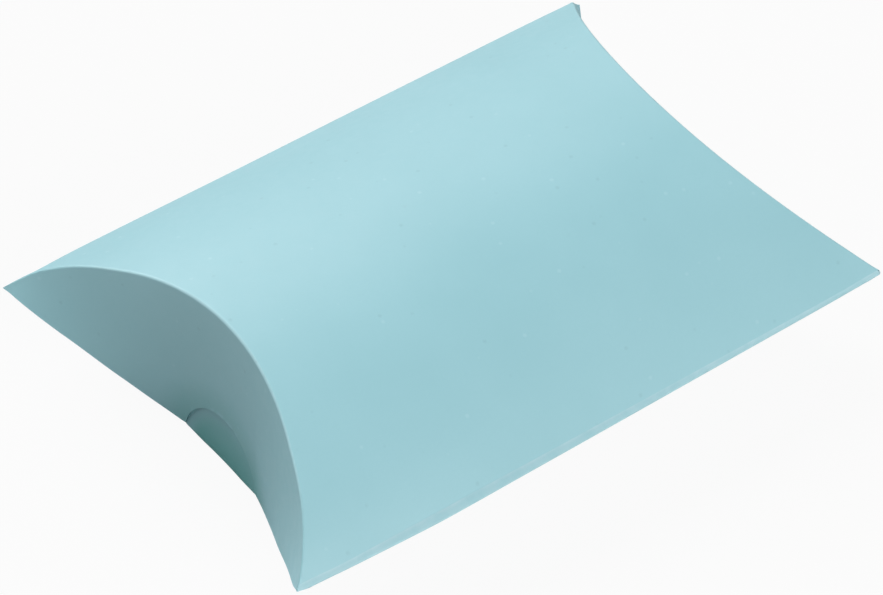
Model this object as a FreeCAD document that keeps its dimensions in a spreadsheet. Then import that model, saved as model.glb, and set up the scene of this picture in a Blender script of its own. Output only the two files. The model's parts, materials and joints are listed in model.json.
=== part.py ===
import FreeCAD, Part
import os

# A pillow box of thin card: two arched panels, joined along straight side folds, with curved
# creases at both ends from which dished flaps stand and close the mouths.
# Origin at the middle of the strip that it rests on, +X along the side folds, +Z up, millimetres.

doc = FreeCAD.newDocument("pillow_box")
sheet = doc.addObject("Spreadsheet::Sheet", "Sizes")

DRIVING = [
    ("box_length", 90.6, "between the sharp corners, before the folds are rounded"),
    ("box_width", 62.8, "between the sharp side folds, before they are rounded"),
    ("panel_rise", 12.1, "crown of each panel above or below the side folds"),
    ("board", 0.4, "thickness of the card"),
    ("rest_width", 8.0, "strip under the lower panel that the card's weight presses flat"),
    ("fold_band", 1.4, "width of the bent card at each side fold"),
    ("fold_radius", 0.8, "outside of the bend at each side fold"),
    ("crease_band", 0.8, "width of the bent card at each end crease"),
    ("flap_gap", 0.3, "between a flap and what it lies against"),
    ("hinge_gap", 0.5, "between a flap and the crease that it turns on"),
    ("edge_gap", 0.3, "between the outer flap's free edge and the lower panel's outside"),
    ("inner_reach", 2.5, "inner flap's free edge above the side folds, at its middle"),
    ("notch_radius", 7.4, "thumb notch in the outer flap"),
    ("glue_width", 12.0, "glue flap, across the box from its fold"),
    ("glue_film", 0.1, "dried glue between the glue flap and the upper panel"),
    ("glue_inset", 1.5, "bare border of the glue flap round the glue"),
    ("glue_end_gap", 3.0, "between the glue flap's ends and the inner flaps"),
    ("overrun", 10.0, "cutting shapes beyond what they cut"),
]

DERIVED = [
    ("half_length", "box_length / 2"),
    ("half_width", "box_width / 2"),
    ("bend_radius", "(half_width ^ 2 + panel_rise ^ 2) / (2 * panel_rise)"),
    ("flat_depth", "bend_radius - sqrt(bend_radius ^ 2 - (rest_width / 2) ^ 2)"),
    ("fold_height", "panel_rise - flat_depth"),
    ("upper_axis", "fold_height + panel_rise - bend_radius"),
    ("lower_axis", "fold_height - panel_rise + bend_radius"),
    ("end_axis", "half_length - panel_rise + bend_radius"),
    ("inner_radius", "bend_radius - board"),
    ("nose_centre", "sqrt((bend_radius - fold_radius) ^ 2 - (bend_radius - panel_rise) ^ 2)"),
    ("nose_start", "nose_centre * bend_radius / (bend_radius - fold_radius)"),
    ("setback", "board + flap_gap"),
    ("panel_half", "half_width - fold_band"),
    ("flap_half", "panel_half - flap_gap"),
    ("edge_radius", "(half_width ^ 2 + inner_reach ^ 2) / (2 * inner_reach)"),
    ("glue_outside", "inner_radius - glue_film"),
    ("reach", "bend_radius + box_length + overrun"),
]

ALIASES = [row[0] for row in DRIVING + DERIVED]
ENDS = {"left": "-", "right": "+"}


def fill_sheet():
    for row, (alias, value, note) in enumerate(DRIVING, start=1):
        write_row(row, alias, str(value), note)
    for row, (alias, formula) in enumerate(DERIVED, start=len(DRIVING) + 1):
        write_row(row, alias, "=" + formula, "")


def write_row(row, alias, content, note):
    sheet.set(f"A{row}", alias)
    sheet.set(f"B{row}", content)
    sheet.set(f"C{row}", note)
    sheet.setAlias(f"B{row}", alias)


def size(formula):
    """The formula with each word that is a size looked up in the sheet."""
    for alias in ALIASES:
        formula = formula.replace("{" + alias + "}", "Sizes." + alias)
    return formula


def bind(thing, **formulas):
    for name, formula in formulas.items():
        thing.setExpression(name.replace("_at_", "Placement.Base."), size(formula))
    return thing


def tube(name, radius, height, across="0"):
    """A solid cylinder along the side folds, its axis at the height and place across given."""
    thing = doc.addObject("Part::Cylinder", name)
    thing.Placement.Rotation = FreeCAD.Rotation(FreeCAD.Vector(0, 1, 0), 90)
    return bind(
        thing,
        Radius=radius,
        Height="{box_length} + 2 * {overrun}",
        _at_x="-{half_length} - {overrun}",
        _at_y=across,
        _at_z=height,
    )


def post(name, radius, end):
    """A solid upright cylinder outside one end, which the mouth's curve follows."""
    thing = doc.addObject("Part::Cylinder", name)
    return bind(thing, Radius=radius, Height="2 * {reach}", _at_x=end + "{end_axis}", _at_z="-{reach}")


def mouth(name, offset):
    """Posts outside both ends, grown into the box by the offset."""
    return {side: post(f"{name}_{side}", "{bend_radius} + " + offset, sign) for side, sign in ENDS.items()}


def slab(name, low_y, high_y, low_z, high_z):
    """A block as long as any cut needs, between two widths and two heights."""
    thing = doc.addObject("Part::Box", name)
    return bind(
        thing,
        Length="2 * {reach}",
        Width=f"({high_y}) - ({low_y})",
        Height=f"({high_z}) - ({low_z})",
        _at_x="-{reach}",
        _at_y=low_y,
        _at_z=low_z,
    )


def common(name, *shapes):
    thing = doc.addObject("Part::MultiCommon", name)
    thing.Shapes = list(shapes)
    return thing


def cut(name, base, *tools):
    for number, tool in enumerate(tools, start=1):
        thing = doc.addObject("Part::Cut", name if number == len(tools) else f"{name}_cut_{number}")
        thing.Base = base
        thing.Tool = tool
        base = thing
    return base


def fuse(name, *shapes):
    thing = doc.addObject("Part::MultiFuse", name)
    thing.Shapes = list(shapes)
    thing.Refine = True
    return thing


fill_sheet()

# The card's outer and inner faces, each the overlap of two tubes of one bend radius,
# and outside a thin tube that rounds each side fold
upper_outside = tube("upper_outside", "{bend_radius}", "{upper_axis}")
upper_inside = tube("upper_inside", "{inner_radius}", "{upper_axis}")
lower_outside = tube("lower_outside", "{bend_radius}", "{lower_axis}")
lower_inside = tube("lower_inside", "{inner_radius}", "{lower_axis}")
above_floor = slab("above_floor", "-{reach}", "{reach}", "{board}", "{reach}")
between_noses = slab("between_noses", "-{nose_start}", "{nose_start}", "0", "{reach}")
arches = common("arches", upper_outside, lower_outside, between_noses)
near_nose = tube("near_nose", "{fold_radius}", "{fold_height}", "-{nose_centre}")
seam_nose = tube("seam_nose", "{fold_radius}", "{fold_height}", "{nose_centre}")
outer_skin = fuse("outer_skin", arches, near_nose, seam_nose)
inner_skin = common("inner_skin", upper_inside, lower_inside, above_floor)
card = cut("card", outer_skin, inner_skin)

# The card between the side folds, above and below them
top_field = slab("top_field", "-{panel_half}", "{panel_half}", "{fold_height}", "{reach}")
bottom_field = slab("bottom_field", "-{panel_half}", "{panel_half}", "-{reach}", "{fold_height}")
top_card = common("top_card", card, top_field)
bottom_card = common("bottom_card", card, bottom_field)

# The curve of each mouth, at every depth where a flap, a crease or the glue flap begins or ends
outer_face = mouth("outer_face", "0")
outer_back = mouth("outer_back", "{board}")
upper_start = mouth("upper_start", "{crease_band}")
inner_face = mouth("inner_face", "{setback}")
inner_back = mouth("inner_back", "{setback} + {board}")
lower_start = mouth("lower_start", "{setback} + {crease_band}")
glue_start = mouth("glue_start", "{setback} + {board} + {glue_end_gap}")

# Arched panels
upper_panel = cut("upper_panel", top_card, *upper_start.values())
lower_panel = cut("lower_panel", bottom_card, *lower_start.values())

# Side folds: the card's two slopes meeting
near_field = slab("near_field", "-{reach}", "-{panel_half}", "-{reach}", "{reach}")
seam_field = slab("seam_field", "{panel_half}", "{reach}", "-{reach}", "{reach}")
near_side_fold = cut("near_side_fold", common("near_card", card, near_field), *outer_face.values())
seam_side_fold = cut("seam_side_fold", common("seam_card", card, seam_field), *outer_face.values())

# End creases: the last stretch of each panel, where its flap turns down or up
creases = []
for side in ENDS:
    upper_stretch = common(f"{side}_upper_stretch", top_card, upper_start[side])
    creases.append(cut(f"{side}_upper_crease", upper_stretch, outer_face[side]))
    lower_stretch = common(f"{side}_lower_stretch", bottom_card, lower_start[side])
    creases.append(cut(f"{side}_lower_crease", lower_stretch, inner_face[side]))

# End flaps: upright, dished to the mouth's curve, each clear of the crease that it hangs from
under_upper = tube("under_upper", "{inner_radius} - {hinge_gap}", "{upper_axis}")
over_lower = tube("over_lower", "{inner_radius} - {hinge_gap}", "{lower_axis}")
outer_edge = tube("outer_edge", "{bend_radius} - {edge_gap}", "{lower_axis}")
inner_edge = tube("inner_edge", "{edge_radius}", "{fold_height} + {inner_reach} - {edge_radius}")
thumb = tube("thumb", "{notch_radius}", "{fold_height} - {panel_rise}")
between_folds = slab("between_folds", "-{flap_half}", "{flap_half}", "{board} + {hinge_gap}", "{reach}")
above_edge = slab("above_edge", "-{flap_half}", "{flap_half}", "{edge_gap}", "{reach}")

flaps = []
for side in ENDS:
    outer_outline = common(f"{side}_outer_outline", outer_back[side], under_upper, outer_edge, above_edge)
    flaps.append(cut(f"{side}_outer_flap", outer_outline, outer_face[side], thumb))
    inner_outline = common(f"{side}_inner_outline", inner_back[side], over_lower, inner_edge, between_folds)
    flaps.append(cut(f"{side}_inner_flap", inner_outline, inner_face[side]))

# Glue flap and its glue, under the upper panel along the seam
glue_face = tube("glue_face", "{glue_outside}", "{upper_axis}")
glue_back = tube("glue_back", "{glue_outside} - {board}", "{upper_axis}")
glue_field = slab("glue_field", "{half_width} - {glue_width}", "{half_width}", "{fold_height}", "{reach}")
glue_strip = common("glue_strip", glue_face, lower_inside, glue_field)
glue_flap = cut("glue_flap", glue_strip, glue_back, *glue_start.values())

film_start = mouth("film_start", "{setback} + {board} + {glue_end_gap} + {glue_inset}")
film_field = slab(
    "film_field",
    "{half_width} - {glue_width} + {glue_inset}",
    "{panel_half}",
    "{fold_height}",
    "{reach}",
)
film_strip = common("film_strip", upper_inside, film_field)
glue_line = cut("glue_line", film_strip, glue_face, *film_start.values())

parts = [upper_panel, lower_panel, near_side_fold, seam_side_fold, *creases, *flaps, glue_flap, glue_line]
doc.recompute()

for thing in doc.Objects:
    if "Invalid" in thing.State or "Error" in thing.State:
        raise RuntimeError(f"{thing.Name} was not built: {thing.State}")
for thing in parts:
    thing.Label = thing.Name
    if thing.Shape.isNull() or not thing.Shape.isValid() or len(thing.Shape.Solids) != 1:
        raise RuntimeError(f"{thing.Label} is not one sound solid")

os.makedirs("parts", exist_ok=True)
for thing in parts:
    thing.Shape.exportStep(f"parts/{thing.Label}.step")
    box = thing.Shape.BoundBox
    print(
        f"{thing.Label:20s} {thing.Shape.Volume:9.2f} mm3, x {box.XMin:.2f} to {box.XMax:.2f},"
        f" y {box.YMin:.2f} to {box.YMax:.2f}, z {box.ZMin:.2f} to {box.ZMax:.2f}"
    )
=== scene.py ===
import json
import math

import bpy
import numpy as np
from mathutils import Matrix, Vector, noise


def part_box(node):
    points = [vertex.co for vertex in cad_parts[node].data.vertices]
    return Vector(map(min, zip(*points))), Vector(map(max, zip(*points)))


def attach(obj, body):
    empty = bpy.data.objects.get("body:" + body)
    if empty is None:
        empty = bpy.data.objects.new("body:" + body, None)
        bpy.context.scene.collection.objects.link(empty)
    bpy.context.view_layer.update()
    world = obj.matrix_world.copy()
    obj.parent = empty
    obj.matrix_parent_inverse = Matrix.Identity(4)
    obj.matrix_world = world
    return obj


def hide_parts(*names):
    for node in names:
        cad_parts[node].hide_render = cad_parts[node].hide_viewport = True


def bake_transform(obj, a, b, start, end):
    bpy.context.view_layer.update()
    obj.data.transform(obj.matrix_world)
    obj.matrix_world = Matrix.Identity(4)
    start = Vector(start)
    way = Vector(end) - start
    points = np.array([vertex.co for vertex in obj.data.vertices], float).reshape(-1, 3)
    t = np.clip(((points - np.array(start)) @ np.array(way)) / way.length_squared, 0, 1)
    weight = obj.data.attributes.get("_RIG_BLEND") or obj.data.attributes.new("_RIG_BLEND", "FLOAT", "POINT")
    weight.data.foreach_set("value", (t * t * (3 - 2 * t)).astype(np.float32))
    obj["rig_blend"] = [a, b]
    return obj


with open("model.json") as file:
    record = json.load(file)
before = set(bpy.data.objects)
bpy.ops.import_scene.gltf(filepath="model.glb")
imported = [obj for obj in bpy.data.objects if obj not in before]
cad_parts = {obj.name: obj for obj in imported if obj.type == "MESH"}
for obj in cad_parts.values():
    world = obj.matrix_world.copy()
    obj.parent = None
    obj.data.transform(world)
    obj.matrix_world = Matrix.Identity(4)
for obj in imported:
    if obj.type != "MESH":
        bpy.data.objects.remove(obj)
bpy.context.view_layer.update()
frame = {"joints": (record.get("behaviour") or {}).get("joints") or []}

# A pillow box of thin card: one wrapper with its glue, and four end flaps that flex as they open.
# Lengths below are in millimetres, and MM takes them into the frame's metres.
# x runs along the side folds, y across them from near to far, and rise is height above them.
# Left is the end towards -x. A share runs from 0 to 1, and a span is where one value eases into another.
MM = 0.001

# The card and its folds, as the solids have them
JOINTS = {joint["name"]: joint for joint in frame["joints"]}
OUTER_PIVOT = Vector(JOINTS["right_outer_fold"]["pos_m"]) / MM
INNER_PIVOT = Vector(JOINTS["right_inner_fold"]["pos_m"]) / MM
FOLD_LOW, FOLD_HIGH = (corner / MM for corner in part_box("near_side_fold"))
FOLD_HEIGHT = (FOLD_LOW.z + FOLD_HIGH.z) / 2
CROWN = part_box("upper_panel")[1].z / MM - FOLD_HEIGHT
HALF_LENGTH = OUTER_PIVOT.x + CROWN
HALF_WIDTH = 31.4
BEND_RADIUS = (HALF_WIDTH**2 + CROWN**2) / (2 * CROWN)
BOARD = 0.4
EDGE_GAP = 0.3
INNER_REACH = 2.5
NOTCH_RADIUS = 7.4
GLUE_FILM = 0.1
GLUE_INSET = 1.5
GLUE_EDGE = 19.4

# Near side fold: its scores across the box, its rolled lip, and the card pressed thin in it
SCORE_REACH = 30.9
NOSE_REACH = 31.1
FOLDED_BOARD = 0.14
CORNER_BOARD = 0.01
SCORE_BOARD_SHARE = 0.72
ROLL_START = 1.4
LIP_HEIGHT = 0.1
LIP_UNDER = 0.3
LIP_DROP_SHARE = 0.5
OVER_LIP_SHARES = (0, 0.4, 1, 1)
UNDER_LIP_SHARES = (1, 1, 0.6, 0)
# The folds are paled as rubbed card; along the upper score of the near fold the paler colour is a painted
# highlight, fading out over the share of the lip below.
FOLD_WEAR = 0.5
SCORE_HIGHLIGHT_SHARE = 0.35

# How the near fold springs out past its score: the slopes from both ends, where they start, and their blend
BULGE_RISE = 0.043
BULGE_START = -47.0
BULGE_FALL = 0.0146
BULGE_END = 41.5
BULGE_BLEND = 12

# Far side fold: controls of its round, as places across and rises, and the glue flap that runs on from it
SEAM_CONTROLS = ((30.9, -0.44), (31.12, -0.26), (31.05, -0.1), (30.72, -0.07), (30.0, 0.56))
SEAM_FOLD_HALF = 44.4
SEAM_FOLD_SHORT = 0.4
SEAM_FOLD_SPAN = (0.55, 1.0)
GLUE_FOLD = 30.0
GLUE_END_GAP = 1.7
GLUE_HIDDEN = 0.5

# The upper panel's raw edge at the seam, which falls short of the score
SEAM_SHORT = {"left": 2.0, "right": 0.4}
SEAM_SHORT_FROM = 27.0

# End creases: their bends, which get sharper towards the corners
CREASE_RADIUS = 0.35
CREASE_RADIUS_SHARE = 0.35
CREASE_LEAD = 0.5
CREASE_LEAD_SHARE = 0.3
CREASE_RUN = 1.65
CREASE_WEAR = 0.4
CREASE_WEAR_SPAN = (20.0, 27.0)

# How far the upper creases lie off their plain curves, and the panel off its arch, towards the corners
CORNER_FIELD = 17.0
CORNER_IN = 0.5
CORNER_LIFT = 0.35
LIFT_SPAN = (-38.0, -5.0)
END_SKEW = 0.28

# The lower creases, which swell into the thumb notches
LOWER_BACK = 0.05
NOTCH_SWELL = 0.67
NOTCH_SWELL_FALL = 0.0048
NOTCH_SWELL_SPAN = (NOTCH_RADIUS - 0.2, NOTCH_RADIUS + 1.2)

# How far each corner's tip is drawn in along and across the box, by its end and its side, far 1 or near -1
DRAWN_IN = {
    ("left", 1): (0.0, 0.68),
    ("left", -1): (0.31, 0.4),
    ("right", -1): (0.1, 0.25),
    ("right", 1): (0.55, 0.12),
}
CORNER_START = 28.0
CORNER_POWER = 1.2
CORNER_FADE = 4.0
TIP_CUT = {"left": 0.0, "right": 0.65}

# Near and far tips of the flaps, across the box
OUTER_TIPS = {"left": (31.35, 31.35), "right": (30.95, 30.6)}
INNER_TIPS = (30.6, 30.6)
TIP_START = 29.6
TIP_BOARD_SHARE = 0.8

# The outer flap's free edge: how far it springs out most, where, and how late it then falls to the tip
NEAR_SPRING = (1.81, 23.0, 2.9)
FAR_SPRING = (1.75, 24.3, 2.6)
FAR_RISE_POWER = 0.75
BLUNT_FALL = 0.65
BLUNT_POWER = 1.5
NOTCH_LEAN = 0.45
EVEN_LEAN = 0.45
SPRING_POWER = 2.2
NOTCH_EDGE_GAP = 0.2
NOTCH_EDGE_SPAN = (8.0, 14.0)
EDGE_GAP_SHARE = 0.35

# How far the inner flap lies behind the outer one's face, and a little further at the notch's far end
INNER_BACK = 0.55
NOTCH_GAP = 0.15
NOTCH_GAP_SPAN = (4.0, 7.0)
NOTCH_GAP_END_SPAN = (9.0, 14.0)

# Painted shade round each notch, as shares of the darker colour, with painted light taking some of it back
# just inside the notch's upper rim
NOTCH_SHADE_EVEN = 0.34
NOTCH_SHADE_LOW = 0.2
NOTCH_SHADE_INSIDE = 0.46
NOTCH_SHADE_DEPTH = 2.5
NOTCH_SHADE_NEAR = 0.25
NOTCH_SHADE_NEAR_SPAN = (2.0, 7.0)
NOTCH_SHADE_REACH = 5.5
# Painted light: just inside the notch's upper rim, on its far half, some of the painted shade is taken back
# to lighten the card there.
RIM_PAINTED_LIGHT = 0.34
RIM_PAINTED_LIGHT_DEPTH = 2.8
RIM_PAINTED_LIGHT_SPAN = (1.0, 5.0)

# Slow waves in the card, which the floor presses flat
WAVE_HEIGHT = 0.07
WAVE_SCALE = 0.035
WAVE_PLACE = Vector((3.1, 7.7, 1.3))
WAVE_CLEARANCE = 4

# How finely the card is divided
NOTCH_STEPS = 36
SIDE_STEPS = 46
SIDE_END_STEP = 0.1
TIP_STEPS = 12
LENGTH_STEPS = 40
LEAD_STEPS = 4
BEND_STEPS = 8
LEG_STEPS = 22
NOSE_STEPS = 12
GLUE_FLAP_STEPS = 24
GLUE_STEPS = 20
END_STEPS = np.array([0.0, 0.004, 0.009, 0.016])
MIDDLE_START = 0.026
MIDDLE_STEPS = np.linspace(MIDDLE_START, 1 - MIDDLE_START, LENGTH_STEPS - 3)
ALONG = np.concatenate([END_STEPS, MIDDLE_STEPS, 1 - END_STEPS[::-1]])
SHARP_ANGLE = math.radians(50)

# Studio: how white the camera sees the floor, the light from all round, and sizes in metres
FLOOR_WHITE = 0.94
FLOOR_HALF = 4.0
WORLD_FILL = 0.01
SOFT_BOX = 0.9

# The photograph's view, from its corners, creases and folds fitted together with one camera
IMAGE_WIDTH = 883
VIEW_AZIMUTH = math.radians(-38.386)
VIEW_ELEVATION = math.radians(45.267)
VIEW_ROLL = 0.03249
VIEW_DISTANCE = 613.6
FOCAL_PIXELS = 4936.8
MIDDLE_RIGHT_PIXELS = 2.77
MIDDLE_UP_PIXELS = 18.5
SENSOR = 36.0
CLIP_NEAR = 0.01
CLIP_FAR = 50


def arch(y, depth=0.0):
    """Height above the side folds of the panel's outside, or of a face that lies some depth inside it."""
    return np.sqrt((BEND_RADIUS - depth) ** 2 - y**2) - (BEND_RADIUS - CROWN)


def belly(y):
    """Depth of the lower panel's outside below the side folds, pressed flat where it rests."""
    return np.minimum(arch(y), FOLD_HEIGHT)


def rows_across():
    """Places across the box that its panels are divided at, closest at the notch's ends and the scores."""
    notch = NOTCH_RADIUS * np.sin(np.linspace(-math.pi / 2, math.pi / 2, NOTCH_STEPS + 1))
    side = np.linspace(NOTCH_RADIUS, SCORE_REACH - SIDE_END_STEP, SIDE_STEPS + 1)[1:]
    side = np.append(side, SCORE_REACH)
    return np.concatenate([-side[::-1], notch, side])


ROWS = rows_across()


def flap_rows(side, layer):
    """Places across that a flap is divided at, which run on to its near and far tips past the scores."""
    near, far = OUTER_TIPS[side] if layer == "outer" else INNER_TIPS
    middle = ROWS[np.abs(ROWS) < TIP_START - SIDE_END_STEP]
    near_tip = -np.linspace(near, TIP_START, TIP_STEPS)
    far_tip = np.linspace(TIP_START, far, TIP_STEPS)
    return np.concatenate([near_tip, middle, far_tip])


def eased(value, low, high):
    """0 up to low, 1 from high on, and smooth between."""
    t = np.clip((value - low) / (high - low), 0, 1)
    return t * t * (3 - 2 * t)


def near_corner(y):
    """0 up to half way across a panel's side, 1 a little before the side fold and 0 again there."""
    share = np.clip((np.abs(y) - CORNER_FIELD) / (HALF_WIDTH - CORNER_FIELD), 0, 1)
    return 27 / 4 * share**2 * (1 - share)


def lifted(x, y):
    """How far the upper panel stands above its plain arch, towards its left corners."""
    return CORNER_LIFT * near_corner(y) * (1 - eased(x, *LIFT_SPAN))


def drawn_in(points):
    """The points with the box's corners drawn in, which fades out along and across the panels."""
    x, y = points[..., 0], points[..., 1]
    across_share = np.clip((np.abs(y) - CORNER_START) / (HALF_WIDTH - CORNER_START), 0, 1) ** CORNER_POWER
    from_end = HALF_LENGTH - CREASE_LEAD - CREASE_RADIUS - np.maximum(arch(y), 0) - np.abs(x)
    share = across_share * np.exp(-((np.maximum(from_end, 0) / CORNER_FADE) ** 2))
    moved = points.copy()
    for (side, way), (along, across) in DRAWN_IN.items():
        end = 1 if side == "right" else -1
        here = share * (x * end > 0) * (y * way > 0)
        moved[..., 0] -= end * along * here
        moved[..., 1] -= way * across * here
    return moved


def upper_out(side, y):
    """How far the upper crease stands out from its plain curve. On the left it is drawn in at the corners,
    and on the right it is a little askew."""
    if side == "left":
        return -CORNER_IN * near_corner(y)
    return END_SKEW * np.sin(math.pi * y / HALF_WIDTH)


def lower_out(y):
    """How far the lower crease stands out from the plane of the upper one. It swells into the notch."""
    swell = NOTCH_SWELL - NOTCH_SWELL_FALL * y**2
    return -LOWER_BACK + swell * (1 - eased(np.abs(y), *NOTCH_SWELL_SPAN))


def edge_lean(side, y):
    """How far the outer flap's free edge stands out from its crease. It springs out most between the notch
    and the corners, where the card is straighter than the crease, and comes back to the crease at the tips,
    except at the blunt far tip on the right."""
    peak, place, fall = NEAR_SPRING if y < 0 else FAR_SPRING
    past = (abs(y) - place) / (HALF_WIDTH - place)
    if past > 0:
        blunt = side == "right" and y > 0
        return peak - BLUNT_FALL * past**BLUNT_POWER if blunt else peak * (1 - past**fall)
    rise = max(0.0, (abs(y) - NOTCH_RADIUS) / (place - NOTCH_RADIUS))
    gained = math.sin(rise * math.pi / 2) if y < 0 else rise**FAR_RISE_POWER
    return NOTCH_LEAN + (peak - NOTCH_LEAN) * gained


def flap_lean(side, y, down):
    """How far the outer flap stands out from its crease, at the shares of its height that are done. It
    leans evenly at first and bends out more towards its free edge."""
    edge = edge_lean(side, y)
    even = min(edge, EVEN_LEAN - min(0.0, upper_out("left", y)))
    return even * down + (edge - even) * down**SPRING_POWER


def edge_gap(y):
    """Height of the outer flap's free edge above the lower panel's outside."""
    gap = EDGE_GAP + NOTCH_EDGE_GAP * (1 - eased(np.abs(y), *NOTCH_EDGE_SPAN))
    return np.minimum(gap, EDGE_GAP_SHARE * arch(y))


def crease_radius(y):
    """Outside of the bend at an end crease, which gets sharper towards the corners."""
    return np.minimum(CREASE_RADIUS, CREASE_RADIUS_SHARE * arch(y))


def crease_lead(y):
    """Flat card between the panel's own mesh and the bend."""
    return np.minimum(CREASE_LEAD, CREASE_LEAD_SHARE * arch(y))


def panel_end(y, out):
    """Half the length of a panel's own mesh, up to where its flap's mesh begins."""
    return HALF_LENGTH + out - arch(y) - crease_radius(y) - crease_lead(y)


def bulge(x):
    """How far the bent card at the near side fold springs out past its score: from the left corner it rises
    fast to a soft peak, then falls slowly to the right corner."""
    rising = BULGE_RISE * (x - BULGE_START)
    falling = BULGE_FALL * (BULGE_END - x)
    lesser = -np.logaddexp(-BULGE_BLEND * rising, -BULGE_BLEND * falling) / BULGE_BLEND
    return np.maximum(0, lesser)


def unevenness(points):
    """Slow waves of a card that hands have folded, as a change of height."""
    return np.array([noise.noise(Vector(point) * WAVE_SCALE + WAVE_PLACE) for point in points])


def bezier(controls, t):
    """Values at the shares t along the smooth curve that the controls draw, however many they are."""
    order = len(controls) - 1
    weights = [math.comb(order, k) * t**k * (1 - t) ** (order - k) for k in range(order + 1)]
    return sum(weight * control for weight, control in zip(weights, controls))


def lengthwise(left, right):
    """From the left end to the right one, at each place across."""
    return np.asarray(left)[:, None] * (1 - ALONG) + np.asarray(right)[:, None] * ALONG


def patch(x, y, rise, board=BOARD, wear_and_highlight=0.0):
    """Points of one stretch of the sheet, with the card's thickness and its share of wear and painted
    highlight at each.
    """
    x, y, rise, board, wear_and_highlight = np.broadcast_arrays(x, y, rise, board, wear_and_highlight)
    return drawn_in(np.stack([x, y, FOLD_HEIGHT + rise], axis=-1)), board, wear_and_highlight


def upper_patch():
    """The upper panel, from its raw edge at the seam, which was glued a little askew, to the near score."""
    rows = ROWS[::-1]
    short = eased(rows, SEAM_SHORT_FROM, SCORE_REACH)
    left, right = (rows - SEAM_SHORT[side] * short for side in ("left", "right"))
    x = lengthwise(-panel_end(left, upper_out("left", left)), panel_end(right, upper_out("right", right)))
    y = right[:, None] + (left - right)[:, None] * (1 - ALONG) ** 2
    return patch(x, y, arch(y) + lifted(x, y))


def near_fold_patch():
    """The near side fold, from the upper panel's score round its rolled lip to the lower score. At its ends
    the roll runs out into the plain edge between the panels."""
    score = float(arch(SCORE_REACH))
    t = np.linspace(0, 1, NOSE_STEPS + 1)
    over, under = t[1:, None], t[1:-1, None]
    plain = np.concatenate([over, under[::-1]])
    above = np.repeat([1, -1], [NOSE_STEPS, NOSE_STEPS - 1])[:, None]
    plain_y = -(SCORE_REACH + (HALF_WIDTH - SCORE_REACH) * plain)

    def end_of(side):
        out = np.where(above > 0, upper_out(side, plain_y), lower_out(plain_y))
        end = HALF_LENGTH + out - CREASE_RUN * score * (1 - plain)
        return np.minimum(end, HALF_LENGTH - TIP_CUT[side])

    left, right = end_of("left"), end_of("right")
    x = lengthwise(-left[:, 0], right[:, 0])
    from_corner = HALF_LENGTH - np.abs(x)
    drawn = np.where(x < 0, DRAWN_IN["left", -1][1], DRAWN_IN["right", -1][1])
    reach = NOSE_REACH - SCORE_REACH + bulge(x) + drawn * np.exp(-((from_corner / CORNER_FADE) ** 2))
    over_rises = (score, LIP_DROP_SHARE * score, LIP_HEIGHT, -LIP_HEIGHT)
    under_rises = (-LIP_HEIGHT, -LIP_UNDER, -score, -score)
    lip_out = np.concatenate([bezier(OVER_LIP_SHARES, over), bezier(UNDER_LIP_SHARES, under)])
    lip_rise = np.concatenate([bezier(over_rises, over), bezier(under_rises, under)])
    rolled = eased(np.where(x < 0, left, right) - np.abs(x), 0.0, ROLL_START)
    out = (1 - rolled) * (HALF_WIDTH - SCORE_REACH) * plain + rolled * reach * lip_out
    rise = (1 - rolled) * score * (1 - plain) * above + rolled * lip_rise
    rise = rise + np.where(above > 0, lifted(x, plain_y), 0)
    board = np.minimum(FOLDED_BOARD, CORNER_BOARD + SCORE_BOARD_SHARE * score * (1 - plain) + rolled)
    # Painted highlight: right at the upper score the card is painted fully paler, fading out down the lip;
    # the rest of the fold is paled as wear.
    at_score = np.clip(1 - over / SCORE_HIGHLIGHT_SHARE, 0, 1)
    wear_and_highlight = np.concatenate([FOLD_WEAR + (1 - FOLD_WEAR) * at_score, np.full_like(under, FOLD_WEAR)])
    return patch(x, -(SCORE_REACH + out), rise, board, wear_and_highlight)


def lower_patch():
    """The lower panel, from the near score to the far one."""
    end = panel_end(ROWS, lower_out(ROWS))
    return patch(lengthwise(-end, end), ROWS[:, None], -belly(ROWS)[:, None])


def seam_patch():
    """The far side fold, from the lower panel round to the glue flap."""
    t = np.linspace(0, 1, NOSE_STEPS * 2 + 1)[1:-1]
    y, rise = (bezier(places, t) for places in zip(*SEAM_CONTROLS))
    glue_half = HALF_LENGTH - GLUE_END_GAP - SEAM_FOLD_SHORT
    end = SEAM_FOLD_HALF + (glue_half - SEAM_FOLD_HALF) * eased(t, *SEAM_FOLD_SPAN)
    return patch(lengthwise(-end, end), y[:, None], rise[:, None], FOLDED_BOARD, FOLD_WEAR)


def glue_flap_patch():
    """The glue flap, from the far side fold to its raw edge under the upper panel."""
    rows = np.linspace(GLUE_FOLD, GLUE_EDGE, GLUE_FLAP_STEPS)
    end = HALF_LENGTH - GLUE_END_GAP - arch(rows)
    x, y = lengthwise(-end, end), rows[:, None]
    return patch(x, y, arch(y, BOARD + GLUE_FILM) + lifted(x, y))


def glue_patch():
    """The upper face of the glue between the glue flap and the upper panel, out of sight of the seam."""
    seam_edge = SCORE_REACH - SEAM_SHORT["left"] - GLUE_HIDDEN
    rows = np.linspace(seam_edge, GLUE_EDGE + GLUE_INSET, GLUE_STEPS)
    end = HALF_LENGTH - GLUE_END_GAP - 2 * GLUE_INSET - arch(rows)
    x, y = lengthwise(-end, end), rows[:, None]
    return patch(x, y, arch(y, BOARD) + lifted(x, y), GLUE_FILM)


def wrapper_grid():
    """The outside of the sheet without its end flaps, from its raw edge at the seam to the glue flap's."""
    patches = [upper_patch(), near_fold_patch(), lower_patch(), seam_patch(), glue_flap_patch()]
    return [np.concatenate(parts) for parts in zip(*patches)]


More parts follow.
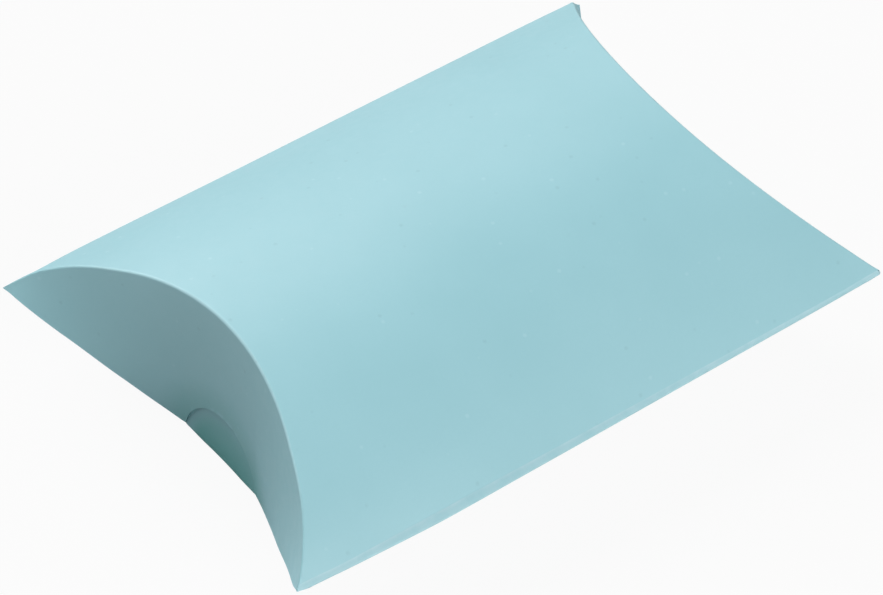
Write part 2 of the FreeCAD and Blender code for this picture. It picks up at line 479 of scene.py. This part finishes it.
def flap_profile(top, face, end, radius, lead):
    """Along a flap from the panel, over its crease and down to its free edge: distance out, height, share
    of the bend done and share of the leg done."""
    start = face - radius
    before = np.linspace(1, 0, LEAD_STEPS)[:-1]
    turn = np.linspace(0, math.pi / 2, BEND_STEPS + 1)
    leg = np.linspace(0, 1, LEG_STEPS + 1)[1:]
    foot = top - radius
    out = (start - lead * before, start + radius * np.sin(turn), np.full_like(leg, face))
    height = (np.full_like(before, top), foot + radius * np.cos(turn), foot + (end - foot) * leg)
    bend = (0 * before, turn / turn[-1], np.ones_like(leg))
    down = (0 * before, 0 * turn, leg)
    return [np.concatenate(parts) for parts in (out, height, bend, down)]


def turn_share(out, depth, bend):
    """How much of the flap's turn each point takes. A curved crease lies in a plane at 45 degrees, and a
    flap that opens on it turns by more the further it is from that plane, so that it ends as a straight
    run-on of its panel."""
    from_crease = np.degrees(np.arctan2(np.maximum(out, 0), np.maximum(depth, 1e-3)))
    return np.clip(1 - from_crease / 45, 0, 1) * bend


def crease_wear(y, bend):
    """How far a crease is rubbed along its bend, which fades towards the corners."""
    return CREASE_WEAR * np.sin(bend * math.pi) * (1 - eased(abs(y), *CREASE_WEAR_SPAN))


def painted_notch_shade(y, rise):
    """How much painted shade a flap takes round its notch: most low down inside the notch, less just under
    the notch's upper rim, where painted light takes some back, and fading out round it."""
    outside = np.hypot(y, rise + CROWN) - NOTCH_RADIUS
    low = 1 - np.clip((rise + CROWN) / NOTCH_RADIUS, 0, 1)
    near = NOTCH_SHADE_NEAR * eased(-y, *NOTCH_SHADE_NEAR_SPAN)
    inside = (NOTCH_SHADE_INSIDE - near) * eased(-outside, 0.0, NOTCH_SHADE_DEPTH)
    strength = NOTCH_SHADE_EVEN + (NOTCH_SHADE_LOW + near + inside) * low
    # Painted light: inside the far half of the rim, the shade share is lowered.
    rim = (1 - eased(-outside, 0.0, RIM_PAINTED_LIGHT_DEPTH)) * (1 - eased(-y, *RIM_PAINTED_LIGHT_SPAN))
    painted_rim_light = np.where(outside < 0, RIM_PAINTED_LIGHT * rim, 0.0)
    return (strength - painted_rim_light) * (1 - eased(outside, 0.0, NOTCH_SHADE_REACH))


def outer_flap_line(side, y):
    """Down the outer flap at one place across: its points, shares of the turn, wear and painted shade."""
    top = float(arch(y))
    edge = float(-belly(y) + edge_gap(y))
    if abs(y) < NOTCH_RADIUS:
        edge = max(edge, -CROWN + math.sqrt(NOTCH_RADIUS**2 - y * y))
    out, height, bend, down = flap_profile(top, HALF_LENGTH - top, edge, crease_radius(y), crease_lead(y))
    share = turn_share(out - OUTER_PIVOT.x, OUTER_PIVOT.z - FOLD_HEIGHT - height, bend)
    whole = top + belly(y) - edge_gap(y)
    out = out + upper_out(side, y) + flap_lean(side, y, bend * (top - height) / whole)
    if side == "left":
        height = height + CORNER_LIFT * near_corner(y) * (1 - down)
    points = np.stack([out, np.full_like(out, y), FOLD_HEIGHT + height], axis=-1)
    return points, share, crease_wear(y, bend), painted_notch_shade(y, height)


def inner_flap_line(side, y):
    """Up the inner flap at one place across: its points, shares of the turn, wear and painted shade. It is
    the same at both ends."""
    edge_radius = (HALF_WIDTH**2 + INNER_REACH**2) / (2 * INNER_REACH)
    edge = -(INNER_REACH - edge_radius + math.sqrt(edge_radius**2 - y * y))
    face = HALF_LENGTH - float(arch(y))
    out, height, bend, down = flap_profile(float(belly(y)), face, edge, crease_radius(y), crease_lead(y))
    share = turn_share(out - INNER_PIVOT.x, FOLD_HEIGHT - INNER_PIVOT.z - height, bend)
    swell = float(lower_out(y))
    gap = NOTCH_GAP * eased(y, *NOTCH_GAP_SPAN) * (1 - eased(y, *NOTCH_GAP_END_SPAN))
    behind = INNER_BACK - upper_out("left", y) + gap
    out = out + swell - (swell + behind) * (1 - (1 - down) ** 2)
    points = np.stack([out, np.full_like(out, y), FOLD_HEIGHT - height], axis=-1)
    return points, share, crease_wear(y, bend), painted_notch_shade(y, -height)


def outward_normals(grid):
    """Unit normals of a grid of points, by its rows and columns."""
    normals = np.cross(np.gradient(grid, axis=0), np.gradient(grid, axis=1))
    return normals / np.linalg.norm(normals, axis=-1, keepdims=True)


def grid_faces(rows, columns, first, flip):
    """Four-sided faces between the points of a grid whose first point has the number given."""
    corner = first + np.arange(rows * columns).reshape(rows, columns)
    quads = np.stack([corner[:-1, :-1], corner[1:, :-1], corner[1:, 1:], corner[:-1, 1:]], axis=-1)
    quads = quads.reshape(-1, 4)
    return quads[:, ::-1] if flip else quads


def border_loop(rows, columns):
    """Grid points round the edge of the sheet, in order."""
    index = np.arange(rows * columns).reshape(rows, columns)
    return np.concatenate([index[0, :-1], index[:-1, -1], index[-1, :0:-1], index[:0:-1, 0]])


def add_shares(mesh, name, shares):
    """A share from 0 to 1 at each grid point of the outside, and the same at the inside behind it."""
    attribute = mesh.attributes.get(name) or mesh.attributes.new(name, "FLOAT", "POINT")
    attribute.data.foreach_set("value", np.tile(shares.reshape(-1), 2).astype(np.float32))


def sheet_piece(name, grid, board, wear_and_highlight, facing, materials, slot):
    """A closed piece of sheet whose outside is the grid and whose inside lies the board's thickness behind.
    facing is 1 where the grid's normals already look out of the box. The materials are those of the
    outside, the inside and the edge."""
    rows, columns = grid.shape[:2]
    outside = grid.copy()
    wave = WAVE_HEIGHT * unevenness(grid.reshape(-1, 3)).reshape(rows, columns)
    outside[..., 2] += wave * np.minimum(1, outside[..., 2] / WAVE_CLEARANCE)
    inside = outside - facing * np.asarray(board)[..., None] * outward_normals(outside)
    count = rows * columns
    loop = border_loop(rows, columns)
    rim = np.stack([loop, np.roll(loop, -1), np.roll(loop, -1) + count, loop + count], axis=-1)
    if facing < 0:
        rim = rim[:, ::-1]
    front = grid_faces(rows, columns, 0, facing < 0)
    back = grid_faces(rows, columns, count, facing > 0)
    mesh = bpy.data.meshes.new(name)
    points = np.concatenate([outside.reshape(-1, 3), inside.reshape(-1, 3)]) * MM
    mesh.from_pydata(points.tolist(), [], np.concatenate([front, back, rim]).tolist())
    for material in materials:
        mesh.materials.append(material)
    kinds = np.repeat([0, 1, 2], [len(front), len(back), len(rim)])
    mesh.polygons.foreach_set("material_index", kinds.astype(np.int32))
    add_shares(mesh, "wear_and_highlight", wear_and_highlight)
    mesh.shade_smooth()
    mesh.set_sharp_from_angle(angle=SHARP_ANGLE)
    mesh.validate()
    piece = bpy.data.objects.new(name, mesh)
    bpy.context.scene.collection.objects.link(piece)
    return piece


def linked(tree, kind, **inputs):
    """A node with each input set to a value or linked to another node's output."""
    node = tree.nodes.new(kind)
    for name, value in inputs.items():
        join(tree, value, node.inputs[name.replace("_", " ")])
    return node


def join(tree, value, socket):
    """Set the socket to the value, or link it where the value is another node's output."""
    if isinstance(value, bpy.types.NodeSocket):
        tree.links.new(value, socket)
    else:
        socket.default_value = value


def new_material(name):
    """A material with its node tree, its shader and the place on the piece that its textures start from."""
    material = bpy.data.materials.new(name)
    material.use_nodes = True
    tree = material.node_tree
    where = linked(tree, "ShaderNodeTexCoord").outputs["Object"]
    return material, tree, tree.nodes["Principled BSDF"], where


def mixed(tree, factor, first, second):
    """Colour that goes from the first to the second with the factor."""
    node = tree.nodes.new("ShaderNodeMix")
    node.data_type = "RGBA"
    sockets = {socket.identifier: socket for socket in node.inputs}
    join(tree, factor, sockets["Factor_Float"])
    join(tree, first, sockets["A_Color"])
    join(tree, second, sockets["B_Color"])
    return next(socket for socket in node.outputs if socket.identifier == "Result_Color")


def ranged(tree, value, span, ends):
    """The value's span, stretched to the two ends and held there outside it."""
    node = linked(tree, "ShaderNodeMapRange", Value=value, From_Min=span[0], From_Max=span[1])
    join(tree, ends[0], node.inputs["To Min"])
    join(tree, ends[1], node.inputs["To Max"])
    return node.outputs["Result"]


def combined(tree, operation, first, second):
    """The two values put together by a sum of the kind named."""
    node = linked(tree, "ShaderNodeMath", Value=first)
    node.operation = operation
    tree.links.new(second, node.inputs[1])
    return node.outputs[0]


def noise_value(tree, where, scale, detail, roughness=0.55):
    """Cloudy noise from 0 to 1, with scale waves to the metre."""
    node = linked(tree, "ShaderNodeTexNoise", Vector=where, Scale=scale, Detail=detail, Roughness=roughness)
    return node.outputs["Fac"]


def point_share(tree, name):
    """The share of that name at the mesh's points, 0 where a piece has none."""
    node = linked(tree, "ShaderNodeAttribute")
    node.attribute_name = name
    return node.outputs["Fac"]


def add_bump(tree, shader, height, strength, distance):
    """Fine relief on the shader, its depth in metres."""
    bump = linked(tree, "ShaderNodeBump", Strength=strength, Distance=distance, Height=height)
    tree.links.new(bump.outputs["Normal"], shader.inputs["Normal"])


def rgb(red, green, blue):
    """A colour as it is seen on a screen, from 0 to 255, as the shader takes it."""
    shares = [channel / 255 for channel in (red, green, blue)]
    linear = [s / 12.92 if s <= 0.04045 else ((s + 0.055) / 1.055) ** 2.4 for s in shares]
    return (*linear, 1)


WHITE = (1, 1, 1, 1)
DARK_FLECK = rgb(112, 152, 162)
PALE_FLECK = rgb(206, 234, 240)


def flecked(tree, where, colour):
    """The colour with small faint flecks, some dark and some pale, scattered over the card."""
    cells = linked(tree, "ShaderNodeTexVoronoi", Vector=where, Scale=420.0)
    chance = linked(tree, "ShaderNodeSeparateColor", Color=cells.outputs["Color"])
    spot = ranged(tree, cells.outputs["Distance"], (0.05, 0.15), (0.16, 0.0))
    fleck = combined(tree, "MULTIPLY", spot, ranged(tree, chance.outputs["Red"], (0.3, 0.4), (0.0, 1.0)))
    tint_share = ranged(tree, chance.outputs["Green"], (0.45, 0.55), (0.0, 1.0))
    return mixed(tree, fleck, colour, mixed(tree, tint_share, DARK_FLECK, PALE_FLECK))


def card_material(name, pale, deep, wear_and_highlight, notch_shade_colour, roughness, fibre, coat):
    """Card: slow clouds and fine fibres in its colour, faint flecks, folds rubbed paler with a painted
    highlight along the near fold's upper score, and painted shade in a darker colour round the notches."""
    material, tree, shader, where = new_material(name)
    clouds = noise_value(tree, where, scale=55, detail=3)
    fibres = noise_value(tree, where, scale=2600, detail=4, roughness=0.7)
    grain = noise_value(tree, where, scale=700, detail=3)
    colour = mixed(tree, ranged(tree, clouds, (0.3, 0.7), (0.25, 0.75)), deep, pale)
    colour = mixed(tree, ranged(tree, fibres, (0.25, 0.75), (0.0, fibre)), colour, deep)
    colour = flecked(tree, where, colour)
    # Painted shade: round the notches the card is mixed towards the darker, greener colour.
    colour = mixed(tree, point_share(tree, "painted_notch_shade"), colour, notch_shade_colour)
    # Wear on the folds and creases, and the painted highlight at the near fold's score, mix in the paler
    # colour, broken up by the grain.
    patchy = ranged(tree, grain, (0.35, 0.65), (0.2, 0.5))
    colour = mixed(tree, combined(tree, "MULTIPLY", point_share(tree, "wear_and_highlight"), patchy), colour, wear_and_highlight)
    tree.links.new(colour, shader.inputs["Base Color"])
    sheen = ranged(tree, grain, (0.3, 0.7), (roughness - 0.05, roughness + 0.06))
    tree.links.new(sheen, shader.inputs["Roughness"])
    add_bump(tree, shader, fibres, strength=0.12, distance=0.00004)
    shader.inputs["Specular IOR Level"].default_value = 0.45
    shader.inputs["Coat Weight"].default_value = coat
    shader.inputs["Coat Roughness"].default_value = 0.38
    return material


def edge_material():
    """The raw edge of the card: its plies, a little paler than its face, with painted shadow on it round the
    notches.
    """
    material, tree, shader, where = new_material("card_edge")
    plies = noise_value(tree, where, scale=3800, detail=3, roughness=0.65)
    spread = ranged(tree, plies, (0.3, 0.7), (0.0, 1.0))
    colour = mixed(tree, spread, rgb(158, 194, 202), rgb(190, 220, 226))
    # Painted shadow: where the notch's painted shade is strong the edge is darkened, for the shadow in the
    # gap at the notch's far end.
    dark = ranged(tree, point_share(tree, "painted_notch_shade"), (0.0, 0.45), (0.0, 0.9))
    colour = mixed(tree, dark, colour, rgb(62, 108, 118))
    tree.links.new(colour, shader.inputs["Base Color"])
    tree.links.new(ranged(tree, plies, (0.3, 0.7), (0.75, 0.9)), shader.inputs["Roughness"])
    add_bump(tree, shader, plies, strength=0.3, distance=0.00005)
    return material


def glue_material():
    """Dried glue: milky, with smears where the card was pressed on."""
    material, tree, shader, where = new_material("dried_glue")
    smears = noise_value(tree, where, scale=320, detail=4)
    spread = ranged(tree, smears, (0.3, 0.7), (0.0, 1.0))
    colour = mixed(tree, spread, rgb(206, 203, 190), rgb(230, 228, 218))
    tree.links.new(colour, shader.inputs["Base Color"])
    tree.links.new(ranged(tree, smears, (0.3, 0.7), (0.3, 0.5)), shader.inputs["Roughness"])
    add_bump(tree, shader, smears, strength=0.3, distance=0.00005)
    return material


CARD_OUTSIDE = card_material(
    "card_outside",
    pale=rgb(160, 207, 216),
    deep=rgb(150, 199, 208),
    wear_and_highlight=rgb(205, 226, 232),
    # The darker colour of the painted shade round the notches.
    notch_shade_colour=rgb(106, 177, 175),
    roughness=0.45,
    fibre=0.3,
    coat=0.1,
)
CARD_INSIDE = card_material(
    "card_inside",
    pale=rgb(180, 214, 222),
    deep=rgb(170, 206, 215),
    wear_and_highlight=rgb(194, 222, 229),
    notch_shade_colour=rgb(160, 200, 206),
    roughness=0.72,
    fibre=0.5,
    coat=0.0,
)
CARD = (CARD_OUTSIDE, CARD_INSIDE, edge_material())


def build_wrapper():
    """Both panels, both side folds and the glue flap, as one sheet."""
    wrapper = sheet_piece("wrapper_card", *wrapper_grid(), 1, CARD, "card")
    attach(wrapper, "box")
    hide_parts("upper_panel", "lower_panel", "near_side_fold", "seam_side_fold", "glue_flap")


def build_flap(side, layer):
    """One end flap with its crease, which stays on the panel while the flap turns."""
    sign = 1 if side == "right" else -1
    line = outer_flap_line if layer == "outer" else inner_flap_line
    rows = flap_rows(side, layer)
    grid, shares, wear_and_highlight, dark = (np.array(parts) for parts in zip(*[line(side, y) for y in rows]))
    grid[..., 0] *= sign
    grid = drawn_in(grid)
    facing = -sign if layer == "outer" else sign
    board = np.minimum(BOARD, TIP_BOARD_SHARE * arch(rows))[:, None] * np.ones(grid.shape[1])
    piece = sheet_piece(f"{side}_{layer}_flap_card", grid, board, wear_and_highlight, facing, CARD, "card")
    # The share of painted shade round the notch, kept at each point.
    add_shares(piece.data, "painted_notch_shade", dark)
    body = f"{side}_{layer}_flap"
    crease = f"{side}_{'upper' if layer == 'outer' else 'lower'}_crease"
    pivot = Vector(JOINTS[f"{side}_{layer}_fold"]["pos_m"])
    low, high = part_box(body)
    edge_height = low.z if layer == "outer" else high.z
    # Its own shares run straight down the flap and would stretch the card beside a curved crease, so the
    # shares worked out above take their place.
    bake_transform(piece, "box", body, start=pivot, end=(pivot.x, pivot.y, edge_height))
    add_shares(piece.data, "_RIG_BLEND", shares)
    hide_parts(body, crease)


def build_glue():
    """The film of glue that holds the wrapper shut."""
    glue = glue_material()
    film = sheet_piece("glue_film", *glue_patch(), 1, (glue, glue, glue), "glue")
    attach(film, "box")
    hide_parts("glue_line")


def blended(tree, factor, first, second):
    """The first shader or the second, by the factor."""
    both = linked(tree, "ShaderNodeMixShader", Fac=factor)
    tree.links.new(first.outputs[0], both.inputs[1])
    tree.links.new(second.outputs[0], both.inputs[2])
    return both


def build_floor():
    """A pale floor that the camera sees as white, with the box's soft shadow on it."""
    material, tree, shader, where = new_material("pale_floor")
    mottle = noise_value(tree, where, scale=9, detail=3)
    spread = ranged(tree, mottle, (0.3, 0.7), (0.0, 1.0))
    colour = mixed(tree, spread, rgb(176, 176, 176), rgb(186, 186, 186))
    tree.links.new(colour, shader.inputs["Base Color"])
    shader.inputs["Roughness"].default_value = 0.9
    shader.inputs["Specular IOR Level"].default_value = 0.0
    glow = linked(tree, "ShaderNodeEmission", Color=WHITE, Strength=1.0)
    whitened = blended(tree, FLOOR_WHITE, shader, glow)
    seen = linked(tree, "ShaderNodeLightPath").outputs["Is Camera Ray"]
    both = blended(tree, seen, shader, whitened)
    tree.links.new(both.outputs[0], tree.nodes["Material Output"].inputs["Surface"])
    mesh = bpy.data.meshes.new("floor")
    corners = [(x * FLOOR_HALF, y * FLOOR_HALF, 0) for x, y in ((-1, -1), (1, -1), (1, 1), (-1, 1))]
    mesh.from_pydata(corners, [], [(0, 1, 2, 3)])
    mesh.materials.append(material)
    floor = bpy.data.objects.new("floor", mesh)
    bpy.context.scene.collection.objects.link(floor)


def build_world():
    """White all round for the camera and in reflections, and a faint even light on the box."""
    world = bpy.data.worlds.new("studio")
    world.use_nodes = True
    tree = world.node_tree
    tree.nodes.clear()
    fill = linked(tree, "ShaderNodeBackground", Color=WHITE, Strength=WORLD_FILL)
    glow = linked(tree, "ShaderNodeBackground", Color=WHITE, Strength=1.0)
    out = linked(tree, "ShaderNodeOutputWorld")
    path = linked(tree, "ShaderNodeLightPath")
    seen = combined(tree, "MAXIMUM", path.outputs["Is Camera Ray"], path.outputs["Is Glossy Ray"])
    both = blended(tree, seen, fill, glow)
    tree.links.new(both.outputs[0], out.inputs["Surface"])
    bpy.context.scene.world = world


def soft_light(name, place, power):
    """A square soft box, its place in metres and its power in watts, turned to the middle of the box."""
    lamp = bpy.data.lights.new(name, "AREA")
    lamp.size = SOFT_BOX
    lamp.energy = power
    light = bpy.data.objects.new(name, lamp)
    light.location = place
    middle = Vector((0, 0, FOLD_HEIGHT * MM))
    light.rotation_euler = (middle - Vector(place)).to_track_quat("-Z", "Y").to_euler()
    bpy.context.scene.collection.objects.link(light)


def build_camera():
    """The photograph's camera, which looks past the middle of the box a little and is rolled a little."""
    flat = math.cos(VIEW_ELEVATION)
    back = Vector((math.sin(VIEW_AZIMUTH) * flat, -math.cos(VIEW_AZIMUTH) * flat, math.sin(VIEW_ELEVATION)))
    level = (-back).cross(Vector((0, 0, 1))).normalized()
    upward = level.cross(-back)
    right = math.cos(VIEW_ROLL) * level + math.sin(VIEW_ROLL) * upward
    up = -math.sin(VIEW_ROLL) * level + math.cos(VIEW_ROLL) * upward
    middle = Vector((0, 0, FOLD_HEIGHT))
    pixel = VIEW_DISTANCE / FOCAL_PIXELS
    aim = middle - right * MIDDLE_RIGHT_PIXELS * pixel - up * MIDDLE_UP_PIXELS * pixel
    place = middle + back * VIEW_DISTANCE
    away = (place - aim).normalized()
    across = (up.cross(away)).normalized()
    upright = away.cross(across)
    lens = bpy.data.cameras.new("camera")
    lens.sensor_width = SENSOR
    lens.lens = FOCAL_PIXELS * SENSOR / IMAGE_WIDTH
    lens.clip_start = CLIP_NEAR
    lens.clip_end = CLIP_FAR
    camera = bpy.data.objects.new("camera", lens)
    turn = Matrix((across, upright, away)).transposed().to_4x4()
    camera.matrix_world = Matrix.Translation(place * MM) @ turn
    bpy.context.scene.collection.objects.link(camera)
    bpy.context.scene.camera = camera


build_camera()
build_wrapper()
for side in ("left", "right"):
    for layer in ("outer", "inner"):
        build_flap(side, layer)
build_glue()
build_floor()
build_world()
soft_light("back", place=(0.0, 0.9, 0.8), power=14.8)
soft_light("front", place=(0.0, -0.9, 0.8), power=5.5)
soft_light("front_low", place=(0.0, -1.16, 0.31), power=9.8)
soft_light("back_left", place=(-0.82, 0.82, 0.31), power=3.2)
bpy.context.scene.view_settings.view_transform = "Standard"
